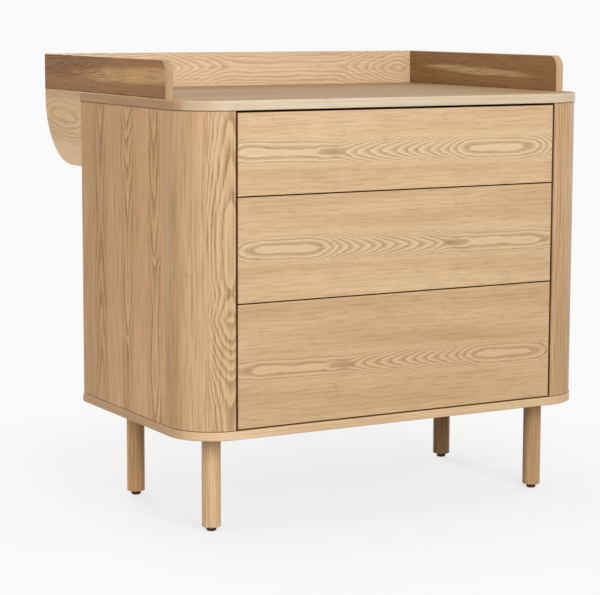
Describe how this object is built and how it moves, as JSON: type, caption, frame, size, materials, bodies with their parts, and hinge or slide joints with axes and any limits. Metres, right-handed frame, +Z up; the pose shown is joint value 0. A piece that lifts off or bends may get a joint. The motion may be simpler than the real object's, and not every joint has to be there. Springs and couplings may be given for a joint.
{
  "type": "chest of drawers",
  "caption": "Chest of drawers with rounded front corners, flush fronts without handles, round legs and a railed changing tray that reaches out behind the case.",
  "frame": {"origin": "on the floor, in the middle of the overall width and of the overall depth, tray included", "axes": "+X to the right seen from the front, +Y to the rear, +Z up"},
  "size_m": [0.98, 0.73, 0.96],
  "materials": {
    "side_veneer": "satin lacquered ash veneer, upright grain",
    "top_veneer": "satin lacquered ash veneer",
    "base_veneer": "satin lacquered ash veneer",
    "front_veneer": "satin lacquered ash veneer, level grain",
    "rail_wood": "satin lacquered ash, warm brown",
    "back_board_wood": "satin lacquered ash",
    "bracket_wood": "satin lacquered ash",
    "leg_wood": "satin lacquered turned ash",
    "back_panel_board": "matt ash veneer",
    "partition_board": "matt ash veneer",
    "cleat_wood": "matt solid ash",
    "drawer_box_wood": "matt birch plywood",
    "dowel_wood": "plain beech",
    "glide_plastic": "dark brown nylon",
    "latch_plastic": "light grey moulded plastic",
    "plunger_plastic": "dark grey moulded plastic",
    "runner_steel": "zinc plated",
    "screw_steel": "zinc plated"
  },
  "bodies": {
    "cabinet": {"top_panel": "top_veneer", "bottom_panel": "base_veneer", "side_panel_left": "side_veneer", "side_panel_right": "side_veneer", "partition_left": "partition_board", "partition_right": "partition_board", "back_panel": "back_panel_board", "leg_front_left": "leg_wood", "leg_front_right": "leg_wood", "leg_rear_left": "leg_wood", "leg_rear_right": "leg_wood", "leg_glides": "glide_plastic", "leg_bolts": "screw_steel", "leg_tee_nuts": "screw_steel", "tray_rail_left": "rail_wood", "tray_rail_right": "rail_wood", "tray_back_board": "back_board_wood", "tray_shelf": "top_veneer", "tray_bracket_left": "bracket_wood", "tray_bracket_right": "bracket_wood", "tray_cleat": "cleat_wood", "dowels": "dowel_wood", "back_screws": "screw_steel", "tray_screws": "screw_steel", "small_screws": "screw_steel", "runner_cabinet_members": "runner_steel", "latch_housings": "latch_plastic"},
    "top_plunger": {"top_latch_plunger": "plunger_plastic"},
    "top_drawer": {"top_drawer_front": "front_veneer", "top_drawer_box_front": "drawer_box_wood", "top_drawer_side_left": "drawer_box_wood", "top_drawer_side_right": "drawer_box_wood", "top_drawer_back": "drawer_box_wood", "top_drawer_bottom": "drawer_box_wood", "top_front_screws": "screw_steel", "top_drawer_members": "runner_steel", "top_member_screws": "screw_steel"},
    "top_centre_runners": {"top_centre_members": "runner_steel"},
    "middle_plunger": {"middle_latch_plunger": "plunger_plastic"},
    "middle_drawer": {"middle_drawer_front": "front_veneer", "middle_drawer_box_front": "drawer_box_wood", "middle_drawer_side_left": "drawer_box_wood", "middle_drawer_side_right": "drawer_box_wood", "middle_drawer_back": "drawer_box_wood", "middle_drawer_bottom": "drawer_box_wood", "middle_front_screws": "screw_steel", "middle_drawer_members": "runner_steel", "middle_member_screws": "screw_steel"},
    "middle_centre_runners": {"middle_centre_members": "runner_steel"},
    "bottom_plunger": {"bottom_latch_plunger": "plunger_plastic"},
    "bottom_drawer": {"bottom_drawer_front": "front_veneer", "bottom_drawer_box_front": "drawer_box_wood", "bottom_drawer_side_left": "drawer_box_wood", "bottom_drawer_side_right": "drawer_box_wood", "bottom_drawer_back": "drawer_box_wood", "bottom_drawer_bottom": "drawer_box_wood", "bottom_front_screws": "screw_steel", "bottom_drawer_members": "runner_steel", "bottom_member_screws": "screw_steel"},
    "bottom_centre_runners": {"bottom_centre_members": "runner_steel"}
  },
  "joints": [
    {"name": "top_latch_press", "type": "slide", "parent": "cabinet", "child": "top_plunger", "axis": [0, 1, 0], "range_m": [0, 0.003], "stiffness_N_per_m": 1500, "springref_m": -0.006},
    {"name": "top_drawer_slide", "type": "slide", "parent": "top_plunger", "child": "top_drawer", "axis": [0, -1, 0], "range_m": [0, 0.43]},
    {"name": "top_runner_slide", "type": "slide", "parent": "cabinet", "child": "top_centre_runners", "axis": [0, -1, 0], "range_m": [0, 0.215]},
    {"name": "middle_latch_press", "type": "slide", "parent": "cabinet", "child": "middle_plunger", "axis": [0, 1, 0], "range_m": [0, 0.003], "stiffness_N_per_m": 1500, "springref_m": -0.006},
    {"name": "middle_drawer_slide", "type": "slide", "parent": "middle_plunger", "child": "middle_drawer", "axis": [0, -1, 0], "range_m": [0, 0.43]},
    {"name": "middle_runner_slide", "type": "slide", "parent": "cabinet", "child": "middle_centre_runners", "axis": [0, -1, 0], "range_m": [0, 0.215]},
    {"name": "bottom_latch_press", "type": "slide", "parent": "cabinet", "child": "bottom_plunger", "axis": [0, 1, 0], "range_m": [0, 0.003], "stiffness_N_per_m": 1500, "springref_m": -0.006},
    {"name": "bottom_drawer_slide", "type": "slide", "parent": "bottom_plunger", "child": "bottom_drawer", "axis": [0, -1, 0], "range_m": [0, 0.43]},
    {"name": "bottom_runner_slide", "type": "slide", "parent": "cabinet", "child": "bottom_centre_runners", "axis": [0, -1, 0], "range_m": [0, 0.215]}
  ],
  "couplings": [
    {"joint": "top_runner_slide", "follows": "top_drawer_slide", "ratio": 0.5},
    {"joint": "middle_runner_slide", "follows": "middle_drawer_slide", "ratio": 0.5},
    {"joint": "bottom_runner_slide", "follows": "bottom_drawer_slide", "ratio": 0.5}
  ]
}
